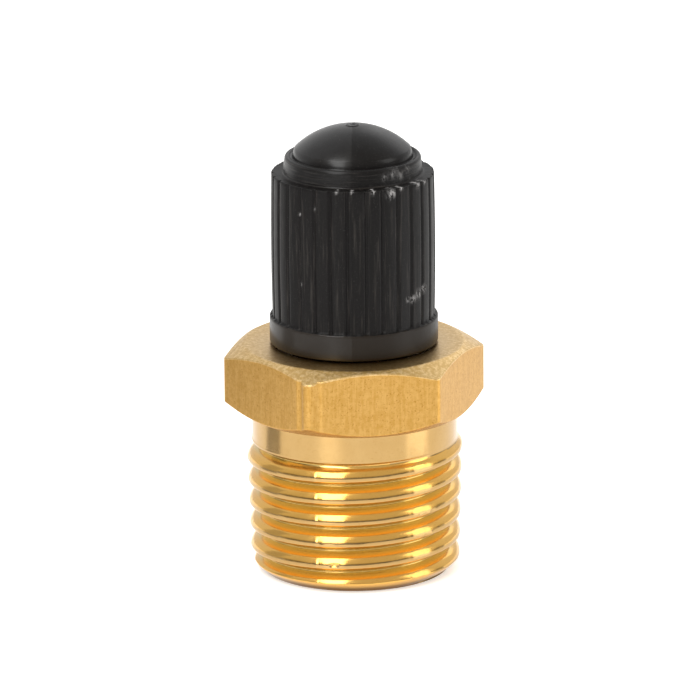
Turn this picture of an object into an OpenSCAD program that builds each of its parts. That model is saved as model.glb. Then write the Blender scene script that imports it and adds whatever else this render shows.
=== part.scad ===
// Air charging and vent valve: a brass hexagon body with a taper pipe thread, a
// spring-loaded valve core screwed into its nipple, and a ribbed screw-on dust cap.
// Millimetres. The valve stands on its thread end: Z = 0 is the end face, +Z runs along
// the axis towards the cap. Threads are drawn as level rings of the true pitch and depth.

/* [Pipe thread] */
// Major diameter at the small (lower) end of the thread
pipe_major = 13.0; // [12.8:0.05:13.4]
// Pitch, 18 threads per inch
pipe_pitch = 1.411; // [1.2:0.001:1.5]
// Radial depth of the thread
pipe_depth = 0.85; // [0.6:0.05:0.95]
// Diameter rises by one part in this many along the thread
pipe_taper = 16; // [12:1:24]
// Number of thread crests
pipe_crests = 6; // [4:1:6]
// Diameter of the plain neck between the thread and the hexagon
neck_d = 12.8; // [12.2:0.1:13.4]
// Outer diameter of the end face, inside the lead-in chamfer
end_d = 11.5; // [11:0.1:12]

/* [Hexagon] */
// Distance across the flats, 9/16 inch
hex_af = 14.29; // [14:0.01:15]
// Height of the hexagon's lower face above the end face
hex_z = 10.1; // [10:0.1:12]
// Height of the hexagon
hex_h = 4.4; // [3.5:0.1:6]
// Diameter of the round flat that the chamfer leaves on each face
hex_flat_d = 13.7; // [13:0.1:14]
// Angle of the upper chamfer
hex_top_angle = 27.5; // [20:0.5:35]
// Angle of the lower chamfer
hex_under_angle = 31; // [20:0.5:35]
// Diameter over the hexagon's slightly rounded corners
hex_corner_d = 16.38; // [16:0.01:16.5]

/* [Nipple] */
// Major diameter of the charging thread
nipple_major = 7.74; // [7.6:0.01:7.8]
// Pitch of the charging thread, 32 threads per inch
nipple_pitch = 0.794; // [0.7:0.001:0.9]
// Radial depth of the charging thread
nipple_depth = 0.42; // [0.3:0.01:0.5]
// Height of the nipple above the hexagon
nipple_h = 9.1; // [8.8:0.1:9.5]
// Number of crests on the nipple
nipple_crests = 10; // [8:1:10]

/* [Air passage] */
// Major diameter of the thread that holds the valve core
core_thread_d = 5.32; // [5.28:0.01:5.4]
// Diameter of the bore around the lower part of the core
core_bore_d = 4.04; // [3.9:0.01:4.2]
// Diameter of the chamber that the plunger moves in
chamber_d = 5.2; // [4.8:0.1:6]
// Diameter of the port in the end face
port_d = 7.2; // [6:0.1:7.6]
// Depth of the port
port_depth = 3.2; // [2:0.1:3.2]

/* [Dust cap] */
// Largest diameter over the ribs
cap_rib_d = 10.12; // [9.9:0.01:10.3]
// Number of ribs
cap_ribs = 30; // [24:1:36]
// Depth of the grooves between the ribs
cap_rib_depth = 0.2; // [0.1:0.01:0.3]
// Diameter of the plain band at the cap's mouth
cap_band_d = 10.48; // [10.3:0.01:10.7]
// Height of the plain band
cap_band_h = 1.63; // [1:0.01:2]
// Height of the shoulder above the cap's mouth
cap_shoulder_h = 10.76; // [10.5:0.01:11]
// Diameter of the collar around the dome
cap_collar_d = 8.56; // [8.2:0.01:9]
// Height of the collar above the shoulder
cap_collar_h = 1.1; // [0.8:0.01:1.4]
// Diameter of the dome's upright foot on the collar
cap_dome_d = 7.46; // [7:0.01:7.8]
// Radius of the dome's sphere
cap_dome_r = 5.2; // [5:0.1:5.8]
// Height of the cap from mouth to dome top
cap_h = 13.77; // [13.5:0.01:14.5]
// Gap between the cap's mouth and the hexagon
cap_gap = 0.12; // [0.05:0.01:0.3]
// Diameter of the cap's bore, clear of the nipple
cap_bore_d = 7.9; // [7.86:0.01:8]

/* [Valve core] */
// Diameter of the valve pin
pin_d = 1.0; // [0.9:0.05:1.1]
// Coils of the pin spring
spring_coils = 13; // [10:1:15]
// Wire diameter of the pin spring
spring_wire = 0.3; // [0.25:0.01:0.35]

/* [Hidden] */
$fn = 96;
eps = 0.01;

// Heights that the pieces share
hex_top = hex_z + hex_h;
mouth_z = hex_top + nipple_h;
cap_z = hex_top + cap_gap;

// Core heights, counted down from the nipple's mouth
pin_top = mouth_z - 0.35;
bridge_top = pin_top - 1.95;
plug_top = bridge_top - 1.7;
plug_z = plug_top - 2.4;
barrel_top = plug_z + 1.1;
gasket_top = plug_z - 0.8;
gasket_h = 2.7;
gasket_z = gasket_top - gasket_h;
barrel_floor = gasket_z - 6.7;
barrel_z = barrel_floor - 1.0;
seal_h = 1.0;
cup_h = 1.4;
cup_z = barrel_z - 0.5 - cup_h;
tail_z = cup_z - 0.6;
collar_z = barrel_top + 0.2;
collar_h = 0.4;
seat_top = gasket_z + 1.0;
seat_low = gasket_z - 0.2;

// Core radii
barrel_r = 1.85;
barrel_bore_r = 1.35;
barrel_neck_r = 1.55;
barrel_flange_r = 1.95;
gasket_groove_r = 1.5;
gasket_r = 2.34;
seat_bore_r = 2.4;
plunger_r = 1.9;
seal_r = 1.68;
spring_r = 1.0;

// Clearance between pieces that slide or turn on each other
running_gap = 0.06;

brass = "#c9a04a";
core_brass = "#d2ab56";
steel = "#b9b6ae";
black_plastic = "#232224";
black_rubber = "#1c1b1b";
red_seal = "#8e2a22";

// Points of a ringed thread's outside from bottom to top, [radius, height], for rings
// centred at z0 + i * pitch. The radius grows by slope per millimetre of height.
function thread_points(r, z0, pitch, depth, crests, slope = 0) =
    let (
        flank = depth * tan(30),
        land = (pitch - 2 * flank) * 0.55
    )
    [
        for (i = [0 : crests - 1])
            let (z = z0 + i * pitch, crest_r = r + slope * z)
            each [
                [crest_r - depth, z - land / 2 - flank],
                [crest_r, z - land / 2],
                [crest_r, z + land / 2],
                [crest_r - depth, z + land / 2 + flank]
            ]
    ];

// A washer or tube from height z0 to z1
module ring(outer_r, inner_r, z0, z1) {
    translate([0, 0, z0])
        difference() {
            cylinder(r = outer_r, h = z1 - z0);
            translate([0, 0, -1]) cylinder(r = inner_r, h = z1 - z0 + 2);
        }
}

// The hexagon with a turned chamfer above and below
module hexagon() {
    flat_r = hex_flat_d / 2;
    reach = hex_corner_d / 2 - flat_r;
    intersection() {
        translate([0, 0, hex_z]) cylinder(d = hex_af / cos(30), h = hex_h, $fn = 6);
        rotate_extrude()
            polygon([
                [0, hex_z],
                [flat_r, hex_z],
                [flat_r + reach, hex_z + reach * tan(hex_under_angle)],
                [flat_r + reach, hex_top - reach * tan(hex_top_angle)],
                [flat_r, hex_top],
                [0, hex_top]
            ]);
    }
}

// The turned outside below the hexagon: end chamfer, taper thread and plain neck
module pipe_end() {
    slope = 1 / (2 * pipe_taper);
    first_crest = 0.9;
    rotate_extrude()
        polygon(concat(
            [[0, 0], [end_d / 2, 0], [end_d / 2, 0.2]],
            thread_points(pipe_major / 2, first_crest, pipe_pitch, pipe_depth, pipe_crests, slope),
            [[neck_d / 2, first_crest + pipe_crests * pipe_pitch - 0.55],
             [neck_d / 2, hex_z + eps],
             [0, hex_z + eps]]
        ));
}

// The charging nipple that the dust cap and an air line screw onto
module nipple() {
    r = nipple_major / 2;
    first_crest = hex_top + 1.15;
    rotate_extrude()
        polygon(concat(
            [[0, hex_top - eps], [r - nipple_depth - 0.05, hex_top - eps]],
            thread_points(r, first_crest, nipple_pitch, nipple_depth, nipple_crests),
            [[r - nipple_depth, mouth_z], [0, mouth_z]]
        ));
}

// The stepped air passage, from the nipple's mouth down to the port
module passage() {
    thread_r = core_thread_d / 2;
    rotate_extrude()
        polygon([
            [0, -1],
            [port_d / 2 + 0.3, -1],
            [port_d / 2 + 0.3, 0],
            [port_d / 2, 0.3],
            [port_d / 2, port_depth],
            [chamber_d / 2, port_depth + 0.5],
            [chamber_d / 2, barrel_z + 2.5],
            [core_bore_d / 2, barrel_z + 2.8],
            [core_bore_d / 2, seat_low],
            [seat_bore_r, seat_top],
            [seat_bore_r, plug_z - 0.4],
            [thread_r, plug_z - 0.2],
            [thread_r, mouth_z - 0.3],
            [thread_r + 0.3, mouth_z],
            [thread_r + 0.3, mouth_z + 1],
            [0, mouth_z + 1]
        ]);
}

module valve_body() {
    color(brass)
        difference() {
            union() {
                pipe_end();
                hexagon();
                nipple();
            }
            passage();
        }
}

// The ribbed skirt: narrow V grooves part the ribs
module cap_skirt(h) {
    rib_r = cap_rib_d / 2;
    difference() {
        cylinder(r = rib_r, h = h);
        for (i = [0 : cap_ribs - 1])
            rotate([0, 0, (i + 0.5) * 360 / cap_ribs])
                translate([rib_r, 0, -1])
                    cylinder(r = cap_rib_depth, h = h + 2, $fn = 4);
    }
}

// The collar and the dome on it: a part of a sphere with a low upright foot
module cap_crown() {
    shoulder_z = cap_z + cap_shoulder_h;
    top_z = cap_z + cap_h;
    translate([0, 0, shoulder_z - eps]) cylinder(d = cap_collar_d, h = cap_collar_h + eps);
    intersection() {
        translate([0, 0, top_z - cap_dome_r]) sphere(r = cap_dome_r);
        translate([0, 0, shoulder_z]) cylinder(d = cap_dome_d, h = cap_h);
    }
}

module dust_cap() {
    bore_r = cap_bore_d / 2;
    bore_top = mouth_z + 1.05;
    color(black_plastic)
        difference() {
            union() {
                translate([0, 0, cap_z]) cylinder(d = cap_band_d, h = cap_band_h);
                translate([0, 0, cap_z + cap_band_h - eps])
                    cap_skirt(cap_shoulder_h - cap_band_h + eps);
                cap_crown();
            }
            rotate_extrude()
                polygon([
                    [0, cap_z - 1],
                    [bore_r + 0.35, cap_z - 1],
                    [bore_r + 0.35, cap_z],
                    [bore_r, cap_z + 0.35],
                    [bore_r, bore_top],
                    [2.6, bore_top],
                    [1.9, bore_top + 1.6],
                    [0, bore_top + 2.0]
                ]);
        }
}

// Rubber washer under the cap's roof that closes on the nipple's rim
module cap_seal() {
    color(black_rubber)
        ring(cap_bore_d / 2 - 0.03, 1.6, mouth_z + 0.03, mouth_z + 1.03);
}

// Threaded head of the core: a ring that swivels on the barrel, with a slotted bridge on top
module core_plug() {
    r = core_thread_d / 2 - 0.04;
    pitch = 0.7056;
    bridge_w = 1.7;
    window_top = bridge_top - 0.7;
    cavity_top = barrel_top + running_gap;
    color(core_brass)
        difference() {
            union() {
                rotate_extrude()
                    polygon(concat(
                        [[0, plug_z], [r - 0.4, plug_z]],
                        thread_points(r, plug_z + 0.5, pitch, 0.36, 3),
                        [[r - 0.4, plug_top], [0, plug_top]]
                    ));
                intersection() {
                    translate([0, 0, plug_top - eps])
                        cylinder(r = 2.2, h = bridge_top - plug_top + eps);
                    translate([-3, -bridge_w / 2, plug_top - 1])
                        cube([6, bridge_w, bridge_top - plug_top + 2]);
                }
            }
            rotate_extrude()
                polygon([
                    [0, plug_z - 1],
                    [barrel_neck_r + running_gap, plug_z - 1],
                    [barrel_neck_r + running_gap, barrel_top - 0.5 - running_gap],
                    [barrel_flange_r + running_gap, barrel_top - 0.5 - running_gap],
                    [barrel_flange_r + running_gap, cavity_top],
                    [1.5, cavity_top],
                    [1.5, window_top],
                    [pin_d / 2 + running_gap, window_top],
                    [pin_d / 2 + running_gap, bridge_top + 1],
                    [0, bridge_top + 1]
                ]);
        }
}

// Brass tube with a flange that the plug holds, a groove for the gasket and a seat lip below
module core_barrel() {
    lip_r = 1.5;
    color(core_brass)
        difference() {
            rotate_extrude()
                polygon([
                    [0, barrel_z],
                    [lip_r, barrel_z],
                    [barrel_r, barrel_z + 0.6],
                    [barrel_r, gasket_z],
                    [gasket_groove_r, gasket_z],
                    [gasket_groove_r, gasket_top],
                    [2.25, gasket_top],
                    [2.25, gasket_top + 0.55],
                    [barrel_neck_r, gasket_top + 0.7],
                    [barrel_neck_r, barrel_top - 0.5],
                    [barrel_flange_r, barrel_top - 0.5],
                    [barrel_flange_r, barrel_top],
                    [0, barrel_top]
                ]);
            translate([0, 0, barrel_floor])
                cylinder(r = barrel_bore_r, h = barrel_top - barrel_floor + 1);
            translate([0, 0, barrel_z - 1])
                cylinder(r = pin_d / 2 + 0.3, h = barrel_floor - barrel_z + 2);
        }
}

// Tapered ring that seals the barrel: its foot lies in the body's conical seat
module barrel_gasket() {
    cone = (seat_top - seat_low) / (seat_bore_r - core_bore_d / 2);
    foot_r = core_bore_d / 2 + (gasket_z - seat_low) / cone;
    color(red_seal)
        rotate_extrude()
            polygon([
                [gasket_groove_r, gasket_z],
                [foot_r, gasket_z],
                [gasket_r, seat_low + (gasket_r - core_bore_d / 2) * cone],
                [gasket_r, gasket_top],
                [gasket_groove_r, gasket_top]
            ]);
}

// The pin: a flat head above the bridge, a shank through the core and a riveted tail
module valve_pin() {
    color(steel) {
        translate([0, 0, pin_top - 0.35]) cylinder(r = 0.95, h = 0.35);
        translate([0, 0, tail_z + eps]) cylinder(d = pin_d, h = pin_top - tail_z - 0.35);
        translate([0, 0, tail_z]) cylinder(r1 = 0.7, r2 = 0.95, h = cup_z - tail_z);
    }
}

// Brass ring pressed on the pin, which the spring pushes up
module spring_collar() {
    color(core_brass)
        ring(barrel_bore_r - 0.15, pin_d / 2, collar_z, collar_z + collar_h);
}

// Centre of the spring's wire after a number of turns: the end coils lie closed and
// level, and the coils between them rise evenly
function spring_path(turns) =
    let (
        low = barrel_floor + spring_wire / 2 + 0.02,
        high = collar_z - spring_wire / 2 - 0.02,
        dead = 0.75,
        rise = (high - low) / (spring_coils - 2 * dead),
        up = min(max(turns - dead, 0), spring_coils - 2 * dead) * rise
    )
    [spring_r * cos(360 * turns), spring_r * sin(360 * turns), low + up];

// Compression spring between the barrel's floor and the collar
module pin_spring() {
    steps = 16;
    sides = 6;
    rings = spring_coils * steps;
    points = [
        for (i = [0 : rings])
            let (centre = spring_path(i / steps), turn = 360 * i / steps)
            for (j = [0 : sides - 1])
                let (
                    out = spring_wire / 2 * cos(360 * j / sides),
                    up = spring_wire / 2 * sin(360 * j / sides)
                )
                centre + [out * cos(turn), out * sin(turn), up]
    ];
    skin = [
        for (i = [0 : rings - 1])
            for (j = [0 : sides - 1])
                let (k = (j + 1) % sides)
                [i * sides + j, i * sides + k, (i + 1) * sides + k, (i + 1) * sides + j]
    ];
    low_end = [for (j = [0 : sides - 1]) sides - 1 - j];
    high_end = [for (j = [0 : sides - 1]) rings * sides + j];
    color(steel)
        polyhedron(points, concat(skin, [low_end], [high_end]), convexity = 10);
}

// Brass cup on the pin's tail that carries the plunger's seal
module plunger_cup() {
    color(core_brass)
        difference() {
            translate([0, 0, cup_z]) cylinder(r = plunger_r, h = cup_h);
            translate([0, 0, barrel_z - seal_h]) cylinder(r = seal_r, h = cup_h);
            translate([0, 0, cup_z - 1]) cylinder(d = pin_d, h = cup_h + 2);
        }
}

// Rubber disc that closes on the barrel's lip
module plunger_seal() {
    color(black_rubber)
        ring(seal_r, pin_d / 2, barrel_z - seal_h, barrel_z);
}

valve_body();
dust_cap();
cap_seal();
core_plug();
core_barrel();
barrel_gasket();
valve_pin();
spring_collar();
pin_spring();
plunger_cup();
plunger_seal();
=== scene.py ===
"""Air vent valve: a brass hexagon body with a rolled taper thread, a valve core in its nipple, and
a ribbed black dust cap. Sizes are in millimetres, in the CAD frame, and each mesh is written in
metres. Every skin is a grid of points: rows follow an outline, columns go round the axis."""
import math

import bmesh
import bpy
import numpy as np
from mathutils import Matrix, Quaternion, Vector


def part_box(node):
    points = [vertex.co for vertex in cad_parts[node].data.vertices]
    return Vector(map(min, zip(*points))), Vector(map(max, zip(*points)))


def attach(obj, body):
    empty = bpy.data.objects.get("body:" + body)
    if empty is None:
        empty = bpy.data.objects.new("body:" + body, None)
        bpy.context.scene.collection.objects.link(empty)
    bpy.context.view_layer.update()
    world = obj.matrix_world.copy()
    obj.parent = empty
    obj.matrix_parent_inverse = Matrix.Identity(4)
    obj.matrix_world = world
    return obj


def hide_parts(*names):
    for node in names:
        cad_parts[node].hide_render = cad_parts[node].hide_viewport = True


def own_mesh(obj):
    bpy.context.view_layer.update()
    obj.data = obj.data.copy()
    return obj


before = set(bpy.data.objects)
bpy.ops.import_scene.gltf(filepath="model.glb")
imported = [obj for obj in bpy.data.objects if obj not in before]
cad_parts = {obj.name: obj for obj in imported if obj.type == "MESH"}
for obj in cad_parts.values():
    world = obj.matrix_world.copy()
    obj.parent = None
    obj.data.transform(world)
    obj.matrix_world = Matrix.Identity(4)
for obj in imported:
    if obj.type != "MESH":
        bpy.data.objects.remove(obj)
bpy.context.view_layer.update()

METRES = 0.001
TURN = 2 * math.pi
WELD = 0.0004


# ---------------------------------------------------------------- sizes from the frame

def box_mm(node):
    """A CAD node's lowest and highest corners in millimetres."""
    return [Vector(corner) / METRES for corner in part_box(node)]


body_high = box_mm("valve_body")[1]
cap_low, cap_high = box_mm("dust_cap")
seal_low, seal_high = box_mm("cap_seal")
plug_low, plug_high = box_mm("core_plug")
barrel_low, barrel_high = box_mm("core_barrel")
gasket_low, gasket_high = box_mm("barrel_gasket")
pin_low, pin_high = box_mm("valve_pin")
collar_low, collar_high = box_mm("spring_collar")
spring_low, spring_high = box_mm("pin_spring")
cup_low, cup_high = box_mm("plunger_cup")
disc_low, disc_high = box_mm("plunger_seal")

# Levels and widths that the CAD pieces give.
MOUTH = body_high.z
HEX_HALF = body_high.y
HEX_CORNER = body_high.x
CAP_FOOT = cap_low.z
CAP_TOP = cap_high.z
HEX_TOP = CAP_FOOT - 0.12
HEX_FOOT = HEX_TOP - 4.3
PLUG_TOP = plug_high.z - 1.7

# The pipe thread, whose crests grow in radius by one part in CREST_RISE of the height, and the
# hexagon: FLAT_R is where the chamfers start, and the slopes are their rise for each millimetre out.
PIPE_PITCH = 1.411
PIPE_TOP = 8.5
CREST_R = 6.50
CREST_RISE = 36
NECK_R = 6.40
END_R = 5.86
CREST_START = 7.814
SIDES = 6
FLAT_R = 6.85
TOP_SLOPE = math.tan(math.radians(27.5))
FOOT_SLOPE = math.tan(math.radians(31))

# The nipple's thread: START is the height of a crest at angle 0, and LAND the width of a crest.
NIPPLE_R = 3.87
NIPPLE_PITCH = 0.794
NIPPLE_DEPTH = 0.42
NIPPLE_START = HEX_TOP + 1.15
RELIEF_R = NIPPLE_R - 0.5
RELIEF_TOP = HEX_TOP + 0.35
LAND = 0.1

# The core's thread, the hole it screws into, and the bridge across its head.
CORE_PITCH = 0.7056
CORE_DEPTH = 0.36
CORE_HOLE_R = 2.66
CORE_START = plug_low.z + 0.15
HOLE_FOOT = plug_low.z - 0.1
PLUG_EDGE_R = 2.2
BRIDGE_HALF = 0.85
BRIDGE_HOLE_R = 0.56
WINDOW_R = 1.5

# The dust cap from its foot up, its bore and thread, and the angle of its parting line.
CAP_R = 5.06
BAND_R = 5.24
BAND_TOP = CAP_FOOT + 1.62
SHOULDER = CAP_FOOT + 10.76
COLLAR_TOP = SHOULDER + 1.1
DOME_R = 3.74
DOME_SPHERE = 5.2
GATE_R = 0.46
CAP_BORE_R = 3.95
CAP_THREAD_DEPTH = 0.33
CAP_THREAD_LOW = CAP_FOOT + 0.35
CAP_THREAD_TOP = seal_high.z - 1.18
RIBS = 30
PARTING = math.radians(-100.8)

# The camera's azimuth in degrees, which the lights are placed from, its sensor in millimetres, the
# image's width and the floor's own light.
VIEW = -9.32
SENSOR = 36.0
IMAGE_WIDTH = 700
FLOOR_GLOW = 0.42


# ---------------------------------------------------------------- outlines and grids

def arc(centre, radius, start, end, steps):
    """Points (r, z) on a circle from the start angle to the end angle, in degrees."""
    a = np.radians(np.linspace(start, end, steps + 1))
    return np.stack([centre[0] + radius * np.cos(a), centre[1] + radius * np.sin(a)], -1)


def soften(corners, cuts):
    """An outline with rounded corners. A corner P between neighbours A and B becomes the curve
    (1-u)^2 S + 2u(1-u) P + u^2 E, where S and E lie one cut from P, and a point at two cuts on each
    side keeps the straight stretches flat. A cut of 0 keeps a corner sharp."""
    corners = np.asarray(corners, float)
    rows = [corners[0]]
    for i in range(1, len(corners) - 1):
        before = corners[i - 1] - corners[i]
        after = corners[i + 1] - corners[i]
        long_before = np.linalg.norm(before, axis=-1, keepdims=True) + 1e-9
        long_after = np.linalg.norm(after, axis=-1, keepdims=True) + 1e-9
        if cuts[i] == 0:
            rows.append(corners[i])
            continue
        cut_before = np.minimum(cuts[i], 0.24 * long_before)
        cut_after = np.minimum(cuts[i], 0.24 * long_after)
        start = corners[i] + before / long_before * cut_before
        end = corners[i] + after / long_after * cut_after
        rows.append(corners[i] + before / long_before * cut_before * 2)
        for u in np.linspace(0, 1, 4):
            rows.append((1 - u) ** 2 * start + 2 * u * (1 - u) * corners[i] + u ** 2 * end)
        rows.append(corners[i] + after / long_after * cut_after * 2)
    rows.append(corners[-1])
    return np.array(rows)


def revolve(outline, angles):
    """The grid (r cos a, r sin a, z) of an outline carried round the axis. The outline is (rows, 2), or
    (rows, angles, 2) where it changes with the angle."""
    if outline.ndim == 2:
        outline = np.repeat(outline[:, None, :], len(angles), axis=1)
    r, z = outline[..., 0], outline[..., 1]
    return np.stack([r * np.cos(angles), r * np.sin(angles), z], -1)


def corner_angles(steps):
    """Angles round the axis that crowd towards the hexagon's corners: step k of each half sector is
    30 (k / steps)^1.8 degrees from its corner. The last angle closes the round."""
    half = 180 / SIDES * (np.arange(steps + 1) / steps) ** 1.8
    sector = np.concatenate([half[:-1], 360 / SIDES - half[:0:-1]])
    whole = np.concatenate([sector + i * 360 / SIDES for i in range(SIDES)])
    return np.radians(np.append(whole, 360))


def even_angles(count):
    """Angles spaced evenly round the axis, closed."""
    return np.linspace(0, TURN, count + 1)


def helix(profile, pitch, first, low, high, angles, radius_at):
    """The grid of a screw thread. Profile rows are (part of a pitch, height), and the row at part p
    rises as z = first + pitch (p + a / 360) over several turns. Heights outside low and high are
    held there, so the thread ends on two level rings. radius_at(height, z, a) gives the radius."""
    turns = int(math.ceil((high - low) / pitch)) + 3
    start = math.floor((low - first) / pitch) - 1
    once = angles[:-1]
    a = np.concatenate([once + TURN * (start + i) for i in range(turns)] + [[TURN * (start + turns)]])
    part, height = profile[:, 0][:, None], profile[:, 1][:, None]
    z = np.clip(first + pitch * (part + a[None, :] / TURN), low, high)
    r = radius_at(height + 0 * z, z, a[None, :] % TURN)
    return np.stack([r * np.cos(a), r * np.sin(a), z], -1)


def arc_across(a, degrees, radius):
    """How far the angle a lies round a circle from an angle in degrees, in millimetres."""
    return ((a - math.radians(degrees) + math.pi) % TURN - math.pi) * radius


def smoothstep(x):
    """3x^2 - 2x^3 between 0 and 1."""
    x = np.clip(x, 0, 1)
    return x * x * (3 - 2 * x)


# ---------------------------------------------------------------- meshes

def make_piece(name, grids, material, body, nodes, marks=None):
    """Joins grids into one closed mesh: points that lie together become one, and faces without
    area go. marks maps an attribute's name to a function of the points' places in millimetres."""
    points, quads, start = [], [], 0
    for grid in grids:
        rows, columns = grid.shape[:2]
        index = start + np.arange(rows * columns).reshape(rows, columns)
        quads.append(np.stack([index[:-1, :-1], index[:-1, 1:], index[1:, 1:], index[1:, :-1]], -1))
        points.append(grid.reshape(-1, 3))
        start += rows * columns
    points = np.concatenate(points) * METRES
    quads = np.concatenate([q.reshape(-1, 4) for q in quads])
    mesh = bpy.data.meshes.new(name)
    mesh.vertices.add(len(points))
    mesh.vertices.foreach_set("co", points.ravel())
    mesh.loops.add(quads.size)
    mesh.loops.foreach_set("vertex_index", quads.ravel().astype(np.int32))
    mesh.polygons.add(len(quads))
    mesh.polygons.foreach_set("loop_start", np.arange(0, quads.size, 4, dtype=np.int32))
    mesh.update(calc_edges=True)
    close_skin(mesh)
    mesh.polygons.foreach_set("use_smooth", np.ones(len(mesh.polygons), bool))
    place = np.zeros(len(mesh.vertices) * 3)
    mesh.vertices.foreach_get("co", place)
    for mark, rule in (marks or {}).items():
        values = rule(place.reshape(-1, 3) / METRES)
        attribute = mesh.attributes.new(mark, "FLOAT", "POINT")
        attribute.data.foreach_set("value", values.astype(np.float32))
    piece = bpy.data.objects.new(name, mesh)
    bpy.context.scene.collection.objects.link(piece)
    mesh.materials.append(material)
    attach(piece, body)
    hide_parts(*nodes)
    return piece


def close_skin(mesh):
    """Merges points closer than the weld, which closes seams and poles."""
    skin = bmesh.new()
    skin.from_mesh(mesh)
    bmesh.ops.remove_doubles(skin, verts=skin.verts, dist=WELD * METRES)
    skin.to_mesh(mesh)
    skin.free()


# ---------------------------------------------------------------- shader maths

class Socket:
    """A shader value. Arithmetic on it adds Math nodes to its tree."""

    def __init__(self, tree, link):
        self.tree = tree
        self.link = link

    def maths(self, operation, *values):
        """One Math node of this operation."""
        return node(self.tree, "ShaderNodeMath", {"operation": operation}, dict(enumerate(values)))

    def __add__(self, other):
        return self.maths("ADD", self, other)

    def __radd__(self, other):
        return self.maths("ADD", other, self)

    def __sub__(self, other):
        return self.maths("SUBTRACT", self, other)

    def __rsub__(self, other):
        return self.maths("SUBTRACT", other, self)

    def __mul__(self, other):
        return self.maths("MULTIPLY", self, other)

    def __rmul__(self, other):
        return self.maths("MULTIPLY", other, self)

    def between(self, low, high):
        """0 below low, 1 above high, smooth between them."""
        return node(self.tree, "ShaderNodeMapRange", {"interpolation_type": "SMOOTHSTEP"},
                    {"Value": self, "From Min": low, "From Max": high})


def node(tree, kind, settings=None, values=None, output=0):
    """Adds a node of this type: settings first, then the values or links of its sockets."""
    made = tree.nodes.new(kind)
    for setting, value in (settings or {}).items():
        setattr(made, setting, value)
    for key, value in (values or {}).items():
        socket = made.inputs[key]
        if isinstance(value, Socket):
            tree.links.new(value.link, socket)
        else:
            socket.default_value = value
    return Socket(tree, made.outputs[output])


def colour(red, green, blue):
    """A colour given as screen values from 0 to 255, made linear."""
    screen = np.array([red, green, blue]) / 255
    linear = np.where(screen < 0.04045, screen / 12.92, ((screen + 0.055) / 1.055) ** 2.4)
    return (*linear.tolist(), 1.0)


def new_material(name, constants):
    """A material with one Principled shader, whose constant sockets are set directly."""
    material = bpy.data.materials.new(name)
    material.use_nodes = True
    shader = material.node_tree.nodes["Principled BSDF"]
    for key, value in constants.items():
        shader.inputs[key].default_value = value
    return material, material.node_tree, shader


def feed(tree, shader, **sockets):
    """Links values to the shader's sockets; an underscore in a name stands for a space."""
    for name, value in sockets.items():
        tree.links.new(value.link, shader.inputs[name.replace("_", " ")])


def object_place(tree, scale=(1, 1, 1)):
    """Object coordinates in millimetres, stretched by a scale on each axis."""
    place = node(tree, "ShaderNodeTexCoord", output=3)
    stretch = tuple(part / METRES for part in scale)
    return node(tree, "ShaderNodeMapping", {}, {"Vector": place, "Scale": stretch})


def noise(tree, place, scale, detail, rough):
    """Fractal noise, about 0.5 on average, with this many features to a millimetre."""
    return node(tree, "ShaderNodeTexNoise", {}, {"Vector": place, "Scale": scale, "Detail": detail,
                                                 "Roughness": rough})


def mix_colour(tree, factor, first, second):
    """A colour that goes from the first to the second with the factor."""
    return node(tree, "ShaderNodeMix", {"data_type": "RGBA"}, {0: factor, 6: first, 7: second}, output=2)


def bump(tree, height, strength, distance):
    """The surface's normal, tilted by a height whose full rise is the distance in millimetres."""
    return node(tree, "ShaderNodeBump", {}, {"Height": height, "Strength": strength,
                                             "Distance": distance * METRES})


def mark(tree, name):
    """A number that the mesh carries."""
    return node(tree, "ShaderNodeAttribute", {"attribute_name": name}, output=2)


# ---------------------------------------------------------------- materials

def brass_material():
    """Yellow brass: grainy drawn flats, dull speckled faces, polished turned parts, and a rolled
    thread with painted light: a deeper tone on its shoulders stands in for warm reflected light, a
    paler tone in its roots is set so that their reflections of each other come out right, and
    painted shade darkens its end."""
    material, tree, shader = new_material("brass", {"Metallic": 1.0})
    faced = mark(tree, "faced")
    flats = mark(tree, "flats") * (1 - faced)
    depth = mark(tree, "depth")
    drawn = noise(tree, object_place(tree, (7, 7, 0.5)), 1.0, 4.0, 0.65)
    turned = noise(tree, object_place(tree, (0.5, 0.5, 14)), 1.0, 3.0, 0.6)
    mottle = noise(tree, object_place(tree), 0.8, 5.0, 0.65)
    grit = noise(tree, object_place(tree), 4.0, 4.0, 0.7)
    speck = noise(tree, object_place(tree), 9.0, 2.0, 0.5)
    polished = mix_colour(tree, mottle.between(0.35, 0.7) * 0.6, colour(181, 147, 94),
                          colour(188, 155, 103))
    # Painted light: the deeper tone on the thread's shoulders stands in for the warm light they reflect,
    # and the paler tone in its roots is set so that their reflections of each other come out right.
    rolled = mix_colour(tree, depth.between(0.005, 0.035), polished, colour(222, 174, 92))
    painted_thread_tones = mix_colour(tree, depth.between(0.3, 0.6), rolled, colour(203, 176, 112))
    # Painted shade: the foot of the end chamfer is darkened where it faces the shaded floor at the valve's
    # foot.
    turned_tone = mix_colour(tree, mark(tree, "painted_foot_shade"), painted_thread_tones, colour(128, 92, 44))
    flat_tone = mix_colour(tree, (drawn * 0.5 + grit * 0.5).between(0.38, 0.62), colour(184, 141, 71),
                           colour(200, 158, 90))
    face_tone = mix_colour(tree, grit.between(0.4, 0.65), colour(200, 164, 102), colour(226, 196, 142))
    tone = mix_colour(tree, faced, mix_colour(tree, flats, turned_tone, flat_tone), face_tone)
    spots = speck.between(0.6, 0.72) * (0.25 + flats * 0.45)
    feed(tree, shader, Base_Color=mix_colour(tree, spots, tone, colour(150, 104, 40)))
    rough = 0.15 + flats * 0.2 + drawn * flats * 0.08 + faced * 0.2 + mottle * 0.06
    feed(tree, shader, Roughness=rough)
    smooth = (1 - flats) * (1 - faced)
    height = (drawn * 0.5 + grit * 0.5) * flats + turned * smooth * 0.35 + (grit * 1.6 + speck) * faced
    feed(tree, shader, Normal=bump(tree, height, 0.5, 0.025))
    return material


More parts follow.
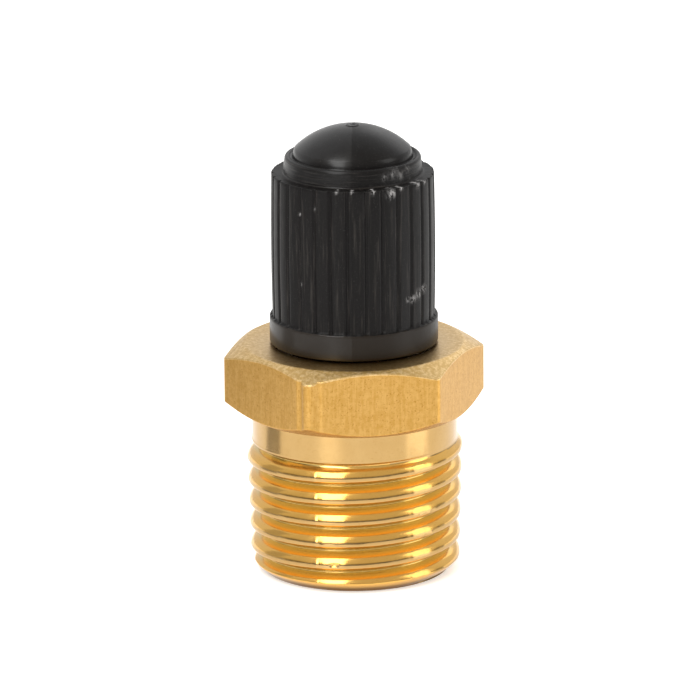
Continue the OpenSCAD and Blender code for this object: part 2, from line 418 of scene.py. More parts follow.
def plastic_material():
    """Black moulded plastic: satin ribs with uneven streaks and knocked places, a browner foot band whose
    warm tint is a painted reflection of the brass below, a collar with fine level lines, and a glossier
    dome, all duller on one mould half."""
    constants = {"Metallic": 0.0, "Specular IOR Level": 0.15, "Coat Roughness": 0.2, "Coat IOR": 1.5}
    material, tree, shader = new_material("black_plastic", constants)
    gloss = mark(tree, "gloss")
    grain = noise(tree, object_place(tree), 14.0, 3.0, 0.6)
    chip = noise(tree, object_place(tree, (5, 5, 2.4)), 1.0, 4.0, 0.7)
    cloud = noise(tree, object_place(tree), 1.2, 4.0, 0.6)
    streak = noise(tree, object_place(tree, (5.5, 5.5, 0.3)), 1.0, 4.0, 0.65)
    turned = noise(tree, object_place(tree, (0.4, 0.4, 11)), 1.0, 3.0, 0.6)
    ribs = 1 - gloss.between(0.05, 0.15)
    collar = gloss.between(0.2, 0.4) * (1 - gloss.between(0.6, 0.9))
    light = streak.between(0.5, 0.74) * ribs + turned.between(0.52, 0.68) * collar
    tone = mix_colour(tree, light, colour(11, 9, 9), colour(42, 39, 37))
    dusty = mix_colour(tree, grain.between(0.6, 0.75) * 0.55, tone, colour(66, 64, 63))
    band = gloss.between(0.08, 0.18) - gloss.between(0.22, 0.35)
    # Painted reflection: the foot band's browner tone stands in for the warm brass that it reflects.
    painted_band_reflection = mix_colour(tree, band, dusty, colour(30, 24, 18))
    knocked = mark(tree, "scuffs") * chip.between(0.42, 0.58)
    feed(tree, shader, Base_Color=mix_colour(tree, knocked, painted_band_reflection, colour(165, 163, 163)))
    feed(tree, shader, Roughness=0.32 + cloud * 0.14 + streak * 0.12 - gloss * 0.12)
    dull = 1 - mark(tree, "half") * 0.75
    shine = (gloss.between(0.22, 0.35) * gloss) * (0.15 + cloud * 0.4)
    feed(tree, shader, Coat_Weight=(shine + band * (0.1 + cloud * 0.35)) * dull)
    height = grain * 0.7 + cloud * 0.5 + streak * ribs + turned * collar * 4
    feed(tree, shader, Normal=bump(tree, height, 0.4, 0.015))
    return material


def plain_metal(name, tone, dark, rough):
    """Small turned or drawn metal parts: a tone with darker clouds and fine level lines."""
    material, tree, shader = new_material(name, {"Metallic": 1.0})
    cloud = noise(tree, object_place(tree), 1.6, 4.0, 0.6)
    line = noise(tree, object_place(tree, (0.6, 0.6, 18)), 1.0, 3.0, 0.6)
    feed(tree, shader, Base_Color=mix_colour(tree, cloud.between(0.4, 0.75) * 0.6, tone, dark))
    feed(tree, shader, Roughness=rough + cloud * 0.1)
    feed(tree, shader, Normal=bump(tree, line, 0.4, 0.01))
    return material


def rubber_material(name, tone, worn_tone):
    """Moulded rubber: matt, with a fine grain and a little dust."""
    material, tree, shader = new_material(name, {"Metallic": 0.0})
    grain = noise(tree, object_place(tree), 10.0, 4.0, 0.6)
    dust = noise(tree, object_place(tree), 1.5, 4.0, 0.6)
    feed(tree, shader, Base_Color=mix_colour(tree, dust.between(0.45, 0.8) * 0.5, tone, worn_tone))
    feed(tree, shader, Roughness=0.55 + grain * 0.2)
    feed(tree, shader, Normal=bump(tree, grain, 0.4, 0.02))
    return material


brass = brass_material()
plastic = plastic_material()
core_brass = plain_metal("core_brass", colour(236, 196, 120), colour(190, 140, 70), 0.2)
steel = plain_metal("steel", colour(200, 198, 192), colour(140, 138, 134), 0.24)
black_rubber = rubber_material("black_rubber", colour(30, 29, 29), colour(58, 56, 55))
red_rubber = rubber_material("red_seal", colour(150, 40, 30), colour(110, 30, 24))


# ---------------------------------------------------------------- the brass body

# Nick and beads of metal on the crests: degrees round the axis, height, reach, rise of the surface.
CREST_MARKS = [(-111, 1.83, 0.085, -0.24), (-62, 4.72, 0.10, 0.05), (-56, 4.74, 0.08, 0.05),
               (-50, 4.78, 0.09, 0.05), (-44, 4.8, 0.09, 0.04), (-60, 3.3, 0.09, 0.04),
               (-53, 3.33, 0.1, 0.05), (-118, 3.1, 0.08, 0.04), (-109, 3.12, 0.09, 0.05),
               (-104, 3.14, 0.07, 0.05), (-99, 3.17, 0.08, 0.04), (-95, 3.18, 0.07, 0.04)]
ROUND = corner_angles(18)


def pipe_profile():
    """One pitch of the rolled pipe thread from root to root, as (part of a pitch, depth below the
    crest in mm). The metal has flowed up in rolling: the upper shoulder is long and round, and the
    lower flank is short and steep."""
    lower = [(-0.56, 0.77), (-0.53, 0.755), (-0.50, 0.72), (-0.46, 0.64), (-0.40, 0.52), (-0.30, 0.33),
             (-0.20, 0.14), (-0.14, 0.05), (-0.10, 0.02), (-0.06, 0.0), (0.0, 0.003), (0.04, 0.0)]
    upper = [(0.09, 0.006), (0.15, 0.018), (0.223, 0.04), (0.28, 0.063), (0.338, 0.095), (0.39, 0.129),
             (0.443, 0.17), (0.49, 0.213), (0.533, 0.26), (0.60, 0.36), (0.70, 0.53), (0.79, 0.69),
             (0.82, 0.745), (0.851, 0.77)]
    whole = np.array(lower + upper)
    whole[:, 0] = whole[:, 0] / PIPE_PITCH
    return whole


def pipe_radius(depth, z, a):
    """Taper crest less the thread's depth, held inside the end chamfer and faded into the neck. A nick
    and small beads of metal mark some of the crests."""
    crest = CREST_R + z / CREST_RISE
    on_crest = np.exp(-(depth / 0.12) ** 2)
    damage = 0
    for degrees, height, reach, size in CREST_MARKS:
        across = arc_across(a, degrees, crest)
        damage = damage + size * np.exp(-(across ** 2 + (z - height) ** 2) / reach ** 2)
    burr = 0.02 * np.maximum(np.sin(a * 23) * np.sin(a * 41 + 1) + 0.3 * np.sin(a * 97), 0)
    thread = np.clip(crest - depth + (damage + burr) * on_crest, END_R - z, END_R + z)
    fade = smoothstep((PIPE_TOP - z) / 0.6)
    return NECK_R + (thread - NECK_R) * fade


def hexagon_radius(angles):
    """Distance from the axis to the hexagon's side at each angle, its corners rounded by a circle
    that touches both flats."""
    sector = TURN / SIDES
    corner = np.round(angles / sector).astype(int) % SIDES
    off = angles - np.round(angles / sector) * sector
    rounding = np.array([0.39, 0.3, 0.45, 0.39, 0.62, 0.26])[corner]
    side = HEX_HALF / np.cos(sector / 2 - np.abs(off))
    centre = (HEX_HALF - rounding) / math.cos(sector / 2)
    across = np.maximum(rounding ** 2 - (centre * np.sin(off)) ** 2, 0)
    ball = centre * np.cos(off) + np.sqrt(across)
    return np.minimum(np.minimum(side, np.where(across > 0, ball, side)), HEX_CORNER)


def hexagon_rows():
    """The outline from the neck round the hexagon to the foot of the nipple, for every angle."""
    side = hexagon_radius(ROUND)
    under = HEX_FOOT + (side - FLAT_R) * FOOT_SLOPE
    over = HEX_TOP - (side - FLAT_R) * TOP_SLOPE
    level = np.ones_like(side)
    corners = np.array([
        [level * NECK_R, level * PIPE_TOP],
        [level * NECK_R, level * HEX_FOOT],
        [level * FLAT_R, level * HEX_FOOT],
        [side, under],
        [side, over],
        [level * FLAT_R, level * HEX_TOP],
        [level * RELIEF_R, level * HEX_TOP],
        [level * RELIEF_R, level * RELIEF_TOP],
    ]).transpose(0, 2, 1)
    return soften(corners, [0, 0.04, 0.08, 0.05, 0.05, 0.08, 0.1, 0])


def nipple_profile(pitch, depth):
    """One pitch of a 60 degree thread from root to root, as (part of a pitch, depth below crest)."""
    flank = depth * math.tan(math.radians(30))
    half = np.array([(0.0, 0.0), (LAND / 2, 0.01), (LAND / 2 + flank * 0.5, depth * 0.5),
                     (LAND / 2 + flank * 0.93, depth * 0.93), (pitch / 2, depth)])
    whole = np.concatenate([half[:0:-1] * (-1, 1), half])
    whole[:, 0] = whole[:, 0] / pitch
    return whole


def nipple_radius(depth, z, a):
    """Straight thread, with a chamfer at the mouth and a relief at the foot: the same all round."""
    rise = smoothstep((z - RELIEF_TOP) / 0.4)
    thread = RELIEF_R + (NIPPLE_R - depth - RELIEF_R) * rise
    return np.minimum(thread, NIPPLE_R - NIPPLE_DEPTH + (MOUTH - z))


def core_hole_radius(depth, z, a):
    """Inner thread: crests point to the axis. A chamfer opens it at the mouth."""
    fade = smoothstep((z - HOLE_FOOT) / 0.3)
    wall = CORE_HOLE_R - (CORE_DEPTH - depth) * fade
    return np.maximum(wall, CORE_HOLE_R - (MOUTH - z - 0.3))


def lower_passage():
    """The outline down from the core's thread past the seat and the chamber to the port and the end
    face, and out to the thread's chamfer."""
    seat_low = gasket_low.z - 0.2
    chamber_top = barrel_low.z + 2.5
    corners = [
        (CORE_HOLE_R, HOLE_FOOT), (2.4, HOLE_FOOT - 0.3), (2.4, seat_low + 1.2), (2.02, seat_low),
        (2.02, chamber_top + 0.3), (2.6, chamber_top), (2.6, 3.7), (3.6, 3.2), (3.6, 0.3),
        (3.9, 0.0), (END_R - 0.08, 0.0), (END_R, 0.0),
    ]
    return soften(corners, [0, 0.05, 0.1, 0.08, 0.08, 0.08, 0.1, 0.1, 0.06, 0.06, 0, 0])


def build_body():
    """The whole brass piece: rolled thread, hexagon, nipple, and the passage through it."""
    thread = helix(pipe_profile(), PIPE_PITCH, CREST_START, 0.0, PIPE_TOP, ROUND, pipe_radius)
    hexagon = revolve(hexagon_rows(), ROUND)
    nipple = helix(nipple_profile(NIPPLE_PITCH, NIPPLE_DEPTH), NIPPLE_PITCH, NIPPLE_START, RELIEF_TOP,
                   MOUTH, ROUND, nipple_radius)
    rim = revolve(np.array([(NIPPLE_R - NIPPLE_DEPTH, MOUTH), (CORE_HOLE_R + 0.3, MOUTH)]), ROUND)
    hole = helix(nipple_profile(CORE_PITCH, CORE_DEPTH), CORE_PITCH, CORE_START, HOLE_FOOT, MOUTH,
                 ROUND, core_hole_radius)[::-1]
    passage = revolve(lower_passage(), ROUND)

    def flats(place):
        """1 on the hexagon's sides, 0 elsewhere."""
        radius = np.hypot(place[:, 0], place[:, 1])
        return ((radius > FLAT_R + 0.2) & (place[:, 2] > HEX_FOOT)).astype(float)

    def faced(place):
        """1 on the hexagon's rough turned faces and chamfers, 0 elsewhere."""
        radius = np.hypot(place[:, 0], place[:, 1])
        limit = HEX_TOP - np.maximum(radius - FLAT_R, 0) * TOP_SLOPE - 0.06
        return ((radius > NIPPLE_R) & (place[:, 2] > limit)).astype(float)

    def depth(place):
        """Depth below the crests of the pipe thread in millimetres, 0 outside the thread."""
        below = CREST_R + place[:, 2] / CREST_RISE - np.hypot(place[:, 0], place[:, 1])
        return below * (place[:, 2] < 8.2) * (below < 0.9)

    def painted_foot_shade(place):
        """Painted shade on the end chamfer: 1 at its foot, fading to 0 half a millimetre up; 0 inside its
        edge.
        """
        radius = np.hypot(place[:, 0], place[:, 1])
        return smoothstep((0.5 - place[:, 2]) / 0.35) * (radius > END_R - 0.04)

    marks = {"flats": flats, "faced": faced, "depth": depth, "painted_foot_shade": painted_foot_shade}
    make_piece("brass_body", [thread, hexagon, nipple, rim, hole, passage], brass, "valve",
               ["valve_body"], marks)


build_body()


# ---------------------------------------------------------------- the dust cap

# Knocked places on the ribs and collar: degrees round the axis, height above the cap's foot, reach.
KNOCKS = [(-47, 3.75, 0.22), (-40, 3.95, 0.2), (-53, 3.5, 0.18), (-58, 3.6, 0.12), (-71, 10.5, 0.25),
          (-85, 10.74, 0.13), (-63, 10.74, 0.12), (-46, 10.72, 0.2), (-38, 10.72, 0.12),
          (-100, 10.76, 0.08), (-111, 10.76, 0.07), (-140, 9.1, 0.07), (-127.2, 9.5, 0.07),
          (-139, 4.6, 0.1), (-72, 11.35, 0.2), (-64, 11.5, 0.25), (-56, 11.3, 0.25), (-47, 11.55, 0.22),
          (-58, 11.75, 0.14)]
CAP_ROUND = even_angles(480)


def cap_half(a):
    """1 on the mould half right of the parting line, 0 on the other, at each angle."""
    return ((a - PARTING) % TURN < math.pi).astype(float)


def ragged(a, z, scale):
    """An uneven value within -1 and 1: (p + q + r + p q) / 4 of three waves that go a whole number
    of times round the axis and lean differently with the height."""
    first = np.sin(a * round(37 * scale) + z * 5.1)
    second = np.sin(a * round(61 * scale) - z * 8.3 + 1.7)
    third = np.sin(a * round(13 * scale) + z * 17.0 + 0.4)
    return (first + second + third + first * second) / 4


def scuffed(a, z):
    """About 1 at the middle of a knocked place, falling to 0 round it as exp(-(distance / reach)^2)."""
    total = np.zeros(np.broadcast(a, z).shape)
    for degrees, height, reach in KNOCKS:
        across = arc_across(a, degrees, CAP_R)
        along = z - CAP_FOOT - height
        total += np.exp(-(across ** 2 + along ** 2) / reach ** 2)
    return np.minimum(total, 1)


def rib_radius(a, z):
    """Radius of the ribbed skirt. Each rib is a low crown with a narrow V groove at both sides, the two
    mould halves are turned 1.5 degrees apart, and the skirt swells a little in the middle."""
    half = cap_half(a)
    crest = np.radians(-97.8 + 1.5 * half)
    across = np.abs(((a - crest) * RIBS / TURN + 0.5) % 1 - 0.5) * 2
    groove = np.clip((across - 0.74) / 0.26, 0, 1)
    along = (z - BAND_TOP) / (SHOULDER - BAND_TOP)
    swell = 0.05 * np.sin(math.pi * np.clip(along, 0, 1))
    drop = 0.02 * across ** 2 + 0.15 * groove
    seam = np.exp(-(((a - PARTING + math.pi / 2) % math.pi - math.pi / 2) * CAP_R / 0.05) ** 2)
    return CAP_R + swell - drop - 0.02 * half + 0.03 * seam + 0.1 * scuffed(a, z) * ragged(a, z, 3)


def cap_outline():
    """The cap's outside from its mouth to the pole of the dome, for every angle."""
    a = CAP_ROUND
    level = np.ones_like(a)

    def row(r, z):
        """One ring at this radius and height."""
        return np.stack([r * level, z * level], -1)

    uneven = ragged(a, 0, 1)
    mouth = [row(4.3, CAP_FOOT), row(5.16, CAP_FOOT), row(5.215, CAP_FOOT + 0.03),
             row(BAND_R, CAP_FOOT + 0.09), row(BAND_R, CAP_FOOT + 0.2), row(BAND_R, BAND_TOP - 0.16),
             row(BAND_R, BAND_TOP - 0.06), row(BAND_R - 0.02, BAND_TOP - 0.01),
             row(BAND_R - 0.06, BAND_TOP + 0.02 + 0.03 * uneven)]
    foot = BAND_TOP + 0.06 + 0.12 * np.maximum(uneven, 0)
    skirt = []
    for part in np.linspace(0, 1, 56):
        z = foot + (SHOULDER - 0.06 - foot) * part
        skirt.append(row(rib_radius(a, z), z))
    edge = rib_radius(a, SHOULDER)
    flash = 0.035 * np.maximum(ragged(a, 3.0, 1.3), 0)
    shoulder = [row(edge - 0.015, SHOULDER - 0.02 + flash), row(edge - 0.05, SHOULDER + flash),
                row(edge - 0.13, SHOULDER), row(4.5, SHOULDER), row(4.38, SHOULDER + 0.01),
                row(4.335, SHOULDER + 0.06)]
    collar = [row(4.32 - 0.09 * part + 0.012 * ragged(a, 40 * part, 0.12), SHOULDER + 0.1 + 0.84 * part)
              for part in np.linspace(0, 1, 14)]
    lip = [row(*point) for point in arc((4.06, COLLAR_TOP - 0.16), 0.16, 10, 165, 8)]
    gutter = [row(3.84, COLLAR_TOP - 0.12), row(3.79, COLLAR_TOP - 0.16), row(DOME_R, COLLAR_TOP - 0.12),
              row(3.715, COLLAR_TOP), row(3.70, COLLAR_TOP + 0.12)]
    centre = CAP_TOP - 0.03 - DOME_SPHERE
    top = math.degrees(math.acos(GATE_R / DOME_SPHERE))
    dome = [row(*point) for point in arc((0, centre), DOME_SPHERE, 46.0, top, 34)]
    torn = 0.02 * np.abs(ragged(a, 9.0, 0.2))
    gate = [row(0.43, CAP_TOP - 0.04), row(0.4, CAP_TOP - 0.008 - torn), row(0.3, CAP_TOP - 0.004 - torn),
            row(0.2, CAP_TOP - 0.02), row(0.12, CAP_TOP - 0.05), row(0, CAP_TOP - 0.045)]
    return np.array(mouth + skirt + shoulder + collar + lip + gutter + dome + gate)


def cap_hollow():
    """The outline inside: from the pole of the roof to the seal's seat, above the thread."""
    seat = seal_high.z + 0.02
    return soften([(0, seat + 2.0), (1.9, seat + 1.6), (2.6, seat), (CAP_BORE_R, seat),
                   (CAP_BORE_R, CAP_THREAD_TOP)], [0, 0.2, 0.08, 0.06, 0])


def cap_thread_radius(depth, z, a):
    """Inner thread that meshes with the nipple's: crests point to the axis, and fade at both ends."""
    fade = smoothstep((z - CAP_FOOT - 0.5) / 0.5) * smoothstep((CAP_THREAD_TOP - z) / 0.4)
    return CAP_BORE_R - (CAP_THREAD_DEPTH - depth) * fade


def build_cap():
    """The dust cap: ribbed skirt, shoulder, collar and dome outside, thread and seal seat inside."""
    inside_round = CAP_ROUND[::2]
    outside = revolve(cap_outline(), CAP_ROUND)
    # The inside has half the columns, so the first ring's odd points close up onto the even ones.
    outside[0, 1::2] = outside[0, :-1:2]
    thread = helix(nipple_profile(NIPPLE_PITCH, CAP_THREAD_DEPTH), NIPPLE_PITCH,
                   NIPPLE_START + NIPPLE_PITCH / 2, CAP_THREAD_LOW, CAP_THREAD_TOP, inside_round,
                   cap_thread_radius)[::-1]
    hollow = revolve(cap_hollow(), inside_round)
    mouth = revolve(np.array([(CAP_BORE_R, CAP_THREAD_LOW), (4.3, CAP_FOOT)]), inside_round)

    def scuffs(place):
        """The knocked places, for the finish."""
        a = np.arctan2(place[:, 1], place[:, 0])
        radius = np.hypot(place[:, 0], place[:, 1])
        outer = (radius > 4.4) + 0.35 * ((radius > 4.0) & (place[:, 2] > SHOULDER + 0.1))
        return scuffed(a, place[:, 2]) * outer

    def gloss(place):
        """0 on the ribs, 0.2 on the band, a half on the collar, 1 on the dome."""
        radius = np.hypot(place[:, 0], place[:, 1])
        above = (place[:, 2] > SHOULDER + 0.04) & (radius < 4.4)
        return above * (0.5 + 0.5 * (radius < DOME_R)) + 0.2 * (place[:, 2] < BAND_TOP + 0.01)

    def half(place):
        """1 on the duller mould half, right of the parting line."""
        return cap_half(np.arctan2(place[:, 1], place[:, 0]))

    make_piece("ribbed_cap", [outside, hollow, thread, mouth], plastic, "cap", ["dust_cap"],
               {"scuffs": scuffs, "gloss": gloss, "half": half})


build_cap()


# ---------------------------------------------------------------- the seal and the valve core

CORE_ROUND = even_angles(120)


def closed_ring(corners, cut):
    """A closed outline with every corner rounded by the cut: it starts and ends in the middle of
    its last side."""
    middle = (np.array(corners[0]) + np.array(corners[-1])) / 2
    return soften([middle, *corners, middle], [0] + [cut] * len(corners) + [0])


def build_cap_seal():
    """The washer under the cap's roof, with the nipple's rim pressed into its underside."""
    low, high, out = seal_low.z, seal_high.z, seal_high.x
    corners = [(1.6, low), (2.95, low), (3.05, low + 0.05), (3.4, low + 0.05), (3.5, low), (out, low),
               (out, high), (1.6, high)]
    outline = closed_ring(corners, 0.05)
    make_piece("roof_washer", [revolve(outline, CORE_ROUND)], black_rubber, "seal", ["cap_seal"])


def plug_radius(depth, z, a):
    """Outer thread of the plug, with a chamfer at each end."""
    crest = plug_high.x - depth
    return np.minimum(np.minimum(crest, PLUG_EDGE_R + (PLUG_TOP - z)), PLUG_EDGE_R + (z - plug_low.z))


def bridge_side(angles):
    """Distance from the axis to the bridge's outer face: round ends cut by two flat sides."""
    flat = BRIDGE_HALF / np.maximum(np.abs(np.sin(angles)), 1e-6)
    return np.minimum(PLUG_EDGE_R, flat)


def bridge_angles():
    """Angles for the bridge, with columns at its corners and where its legs end."""
    edge, leg = math.asin(BRIDGE_HALF / PLUG_EDGE_R), math.asin(BRIDGE_HALF / WINDOW_R)
    quarter = np.concatenate([np.linspace(0, edge - 0.01, 10), [edge - 0.004, edge, edge + 0.004],
                              np.linspace(edge + 0.02, leg - 0.006, 6), [leg],
                              np.linspace(leg + 0.05, math.pi / 2, 12)])
    half = np.concatenate([quarter, math.pi - quarter[-2::-1]])
    return np.concatenate([half, half[1:] + math.pi])


def bridge_outline(angles):
    """The bridge at every angle: hole, roof, outer face, foot of the leg where there is one, and the
    window inside."""
    side = bridge_side(angles)
    level = np.ones_like(side)
    top, roof = plug_high.z, plug_high.z - 0.7
    foot = np.where(side > WINDOW_R + 0.0001, PLUG_TOP - 0.02, roof)
    inner = np.minimum(WINDOW_R, side)
    corners = np.array([
        [level * BRIDGE_HOLE_R, level * (top + roof) / 2],
        [level * BRIDGE_HOLE_R, level * top],
        [side, level * top],
        [side, level * roof],
        [side, foot],
        [inner, foot],
        [inner, level * roof],
        [level * BRIDGE_HOLE_R, level * roof],
        [level * BRIDGE_HOLE_R, level * (top + roof) / 2],
    ]).transpose(0, 2, 1)
    return soften(corners, [0, 0.06, 0.12, 0, 0, 0, 0.05, 0.05, 0])


def build_plug():
    """The core's threaded head with the bridge that a core key turns."""
    low = plug_low.z
    thread = helix(nipple_profile(CORE_PITCH, CORE_DEPTH), CORE_PITCH, CORE_START + CORE_PITCH / 2, low,
                   PLUG_TOP, CORE_ROUND, plug_radius)
    neck, groove = barrel_high.z - 0.56, barrel_high.z + 0.06
    inside = soften([(PLUG_EDGE_R, PLUG_TOP), (WINDOW_R, PLUG_TOP), (WINDOW_R, groove), (1.99, groove),
                     (1.99, neck), (1.61, neck), (1.61, low), (PLUG_EDGE_R, low)],
                    [0, 0.06, 0.04, 0.04, 0.04, 0.04, 0.05, 0])
    round_columns = bridge_angles()
    bridge = revolve(bridge_outline(round_columns), round_columns)[::-1]
    make_piece("slotted_plug", [thread, revolve(inside, CORE_ROUND), bridge], core_brass, "valve",
               ["core_plug"])


def build_barrel():
    """The core's barrel: seat lip at its foot, gasket groove, and the flange that the plug holds."""
    low, high = barrel_low.z, barrel_high.z
    groove_low, groove_high = gasket_low.z, gasket_high.z
    floor = low + 1.0
    corners = [(0.8, low), (1.38, low), (1.5, low + 0.03), (1.85, low + 0.6), (1.85, groove_low),
               (1.5, groove_low), (1.5, groove_high), (2.25, groove_high), (2.25, groove_high + 0.55),
               (1.55, groove_high + 0.7), (1.55, high - 0.5), (1.95, high - 0.5), (1.95, high),
               (1.35, high), (1.35, floor), (0.8, floor)]
    outline = closed_ring(corners, 0.05)
    make_piece("core_tube", [revolve(outline, CORE_ROUND)], core_brass, "valve", ["core_barrel"])


def build_gasket():
    """The moulded sealing ring on the barrel, conical below and with two low beads above."""
    low, high, out = gasket_low.z, gasket_high.z, gasket_high.x
    corners = [(1.5, low), (2.077, low), (out, low + 0.83), (out, low + 1.3), (out - 0.06, low + 1.5),
               (out, low + 1.7), (out, low + 2.1), (out - 0.06, low + 2.3), (out, low + 2.5), (out, high),
               (1.5, high)]
    make_piece("sealing_ring", [revolve(closed_ring(corners, 0.06), CORE_ROUND)], red_rubber, "valve",
               ["barrel_gasket"])


def build_spring():
    """A coil of round wire: the centre line (R cos a, R sin a, z(a)) stays level for three quarters
    of a turn at each end and climbs evenly between, and each ring of the skin is a circle of the
    wire's radius. The wire's ends are rounded off."""
    wire, coil, turns, dead, sides = 0.15, 1.0, 13, 0.75, 12
    low, high = spring_low.z + wire, spring_high.z - wire
    t = np.linspace(0, turns, turns * 48 + 1)
    climb = np.clip((t - dead) / (turns - 2 * dead), 0, 1)
    z = low + (high - low) * climb
    taper = np.array([0.0, 0.6, 0.9])
    lead = np.concatenate([[-0.02, -0.015, -0.006], t, turns + np.array([0.006, 0.015, 0.02])])
    heights = np.concatenate([[low] * 3, z, [high] * 3])
    thick = np.concatenate([taper, np.ones(len(t)), taper[::-1]]) * wire
    around = even_angles(sides)
    a = lead[:, None] * TURN
    r = coil + thick[:, None] * np.cos(around)
    grid = np.stack([r * np.cos(a), r * np.sin(a), heights[:, None] - thick[:, None] * np.sin(around)], -1)
    piece = make_piece("coil_spring", [grid], steel, "valve", ["pin_spring"])
    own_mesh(piece)


def build_pin():
    """The pin: a flat head with a small dimple, the shank, and the riveted tail."""
    top, tail, cup = pin_high.z, pin_low.z, cup_low.z
    outline = soften([(0, tail), (0.7, tail), (0.95, cup), (0.5, cup + 0.01), (0.5, top - 0.35),
                      (0.95, top - 0.35), (0.95, top), (0.25, top), (0.12, top - 0.06), (0, top - 0.07)],
                     [0, 0.08, 0.05, 0.02, 0.06, 0.05, 0.09, 0.04, 0.04, 0])
    make_piece("headed_pin", [revolve(outline, even_angles(64))], steel, "pin", ["valve_pin"])


def build_collar():
    """The ring pressed on the pin that the spring pushes up."""
    low, high, out = collar_low.z, collar_high.z, collar_high.x
    outline = closed_ring([(0.5, low), (out, low), (out, high), (0.5, high)], 0.05)
    make_piece("pressed_collar", [revolve(outline, even_angles(72))], core_brass, "pin",
               ["spring_collar"])


def build_plunger():
    """The cup on the pin's tail and the rubber disc in it."""
    low, high, out = cup_low.z, cup_high.z, cup_high.x
    seat, disc = disc_low.z, disc_high.x
    cup = closed_ring([(0.5, low), (out, low), (out, high), (disc, high), (disc, seat), (0.5, seat)], 0.06)
    ring = closed_ring([(0.5, seat), (disc, seat), (disc, disc_high.z), (0.5, disc_high.z)], 0.05)
    make_piece("plunger_shell", [revolve(cup, CORE_ROUND)], core_brass, "pin", ["plunger_cup"])
    make_piece("plunger_disc", [revolve(ring, CORE_ROUND)], black_rubber, "pin", ["plunger_seal"])


build_cap_seal()
build_plug()
build_barrel()
build_gasket()
build_spring()
build_pin()
build_collar()
build_plunger()


# ---------------------------------------------------------------- camera, light and floor

def aim_camera():
    """A long lens a little above the hexagon, turned a few degrees to the left of the front. The
    scale is in parts of the image's width to a millimetre, and the two offsets shift the aim."""
    azimuth, elevation, roll = map(math.radians, (VIEW, 16.11, -0.434))
    distance, scale = 488.1, 16.069
    across, up_image = -4.08 / scale, -11.38 / scale
    back = Vector((math.sin(azimuth) * math.cos(elevation), -math.cos(azimuth) * math.cos(elevation),
                   math.sin(elevation)))
    right = Vector((math.cos(azimuth), math.sin(azimuth), 0))
    up = back.cross(right)
    data = bpy.data.cameras.new("camera")
    data.sensor_width = SENSOR
    data.lens = SENSOR / IMAGE_WIDTH * scale * distance
    data.clip_start, data.clip_end = 0.01, 20.0
    camera = bpy.data.objects.new("camera", data)
    bpy.context.scene.collection.objects.link(camera)
    place = Vector((0, 0, CAP_FOOT)) + back * distance + right * across + up * up_image
    camera.location = place * METRES
    camera.rotation_mode = "QUATERNION"
    turn = (-back).to_track_quat("-Z", "Y")
    camera.rotation_quaternion = turn @ Quaternion((0, 0, 1), roll)
    bpy.context.scene.camera = camera


def soft_light(name, azimuth, elevation, distance, width, height, power, roll=0):
    """A rectangular light that faces the valve, placed by its direction in degrees, and rolled."""
    a, e = math.radians(azimuth), math.radians(elevation)
    back = Vector((math.sin(a) * math.cos(e), -math.cos(a) * math.cos(e), math.sin(e)))
    data = bpy.data.lights.new(name, "AREA")
    data.shape = "RECTANGLE"
    data.size, data.size_y, data.energy = width, height, power
    light = bpy.data.objects.new(name, data)
    bpy.context.scene.collection.objects.link(light)
    light.location = back * distance + Vector((0, 0, 0.014))
    light.rotation_mode = "QUATERNION"
    turn = (-back).to_track_quat("-Z", "Y")
    light.rotation_quaternion = turn @ Quaternion((0, 0, 1), math.radians(roll))


def reflector(name, azimuth, width, height, distance, glow):
    """An upright glowing card near the valve, seen only in its polished surfaces."""
    a = math.radians(azimuth)
    out = Vector((math.sin(a), -math.cos(a), 0)) * distance
    side = Vector((math.cos(a), math.sin(a), 0)) * (width / 2)
    up = Vector((0, 0, height))
    corners = [out - side, out + side, out + side + up, out - side + up]
    mesh = bpy.data.meshes.new(name)
    mesh.from_pydata(corners, [], [(0, 1, 2, 3)])
    card = bpy.data.objects.new(name, mesh)
    bpy.context.scene.collection.objects.link(card)
    material = new_material(name, {"Roughness": 0.8, "Base Color": (0.02, 0.02, 0.02, 1),
                                   "Emission Color": (1, 1, 1, 1), "Emission Strength": glow})[0]
    mesh.materials.append(material)
    card.visible_camera = False
    card.visible_diffuse = False
    card.visible_shadow = False


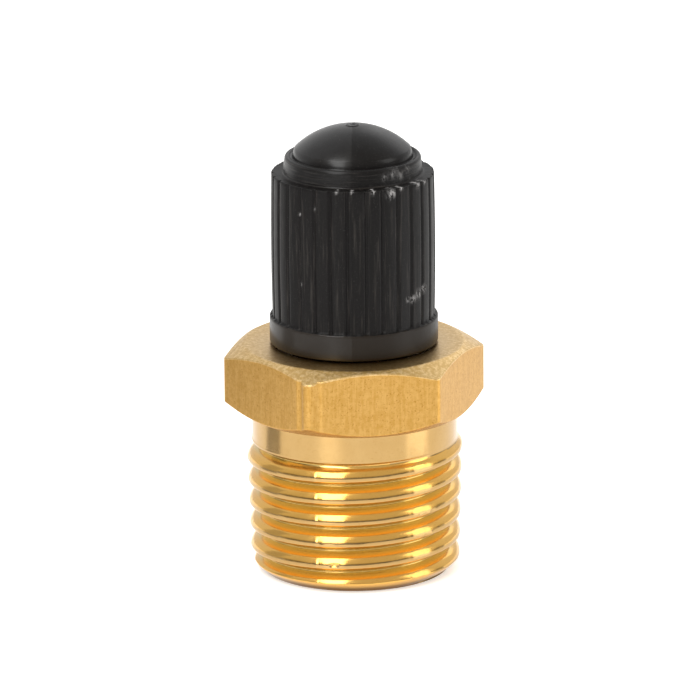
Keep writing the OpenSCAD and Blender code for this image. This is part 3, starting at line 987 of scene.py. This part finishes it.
def build_floor():
    """A pale floor, wide enough to fill the view, and a hair below the valve's end face so that the
    two don't share a plane."""
    size, low = 3.0, -0.00003
    mesh = bpy.data.meshes.new("floor")
    mesh.from_pydata([(-size, -size, low), (size, -size, low), (size, size, low), (-size, size, low)], [],
                     [(0, 1, 2, 3)])
    floor = bpy.data.objects.new("floor", mesh)
    bpy.context.scene.collection.objects.link(floor)
    constants = {"Roughness": 0.3, "Emission Color": (1, 1, 1, 1), "Emission Strength": FLOOR_GLOW}
    material, tree, shader = new_material("floor", constants)
    cloud = noise(tree, object_place(tree), 0.02, 2.0, 0.55)
    tone = mix_colour(tree, cloud * 0.2, colour(250, 250, 250), colour(243, 243, 243))
    feed(tree, shader, Base_Color=tone)
    mesh.materials.append(material)


def build_world():
    """Surroundings that are bright behind the valve, warm and a little dimmer above in front of it,
    and dark along the horizon and below in front."""
    world = bpy.data.worlds.new("studio")
    bpy.context.scene.world = world
    world.use_nodes = True
    tree = world.node_tree
    background = tree.nodes["Background"]
    ray = node(tree, "ShaderNodeTexCoord")
    behind = node(tree, "ShaderNodeSeparateXYZ", {}, {"Vector": ray}, output=1)
    above = node(tree, "ShaderNodeSeparateXYZ", {}, {"Vector": ray}, output=2)
    front = mix_colour(tree, above.between(0.14, 0.3), (0.16, 0.15, 0.14, 1), (0.74, 0.71, 0.65, 1))
    tone = mix_colour(tree, behind.between(-0.1, 0.35), front, (0.92, 0.92, 0.92, 1))
    tree.links.new(tone.link, background.inputs["Color"])


aim_camera()
build_floor()
build_world()
soft_light("left_box", VIEW - 34.6, 43.6, 0.30, 0.125, 0.40, 0.78, 15.4)
soft_light("right_box", VIEW + 78, 30, 0.40, 0.16, 0.2, 0.3)
soft_light("rim_box", VIEW + 155, 30, 0.35, 0.2, 0.16, 0.07)
reflector("bright_card", VIEW + 68, 0.014, 0.026, 0.030, 2.4)
reflector("grey_card", VIEW - 95, 0.012, 0.026, 0.030, 0.5)
bpy.context.scene.view_settings.view_transform = "Standard"
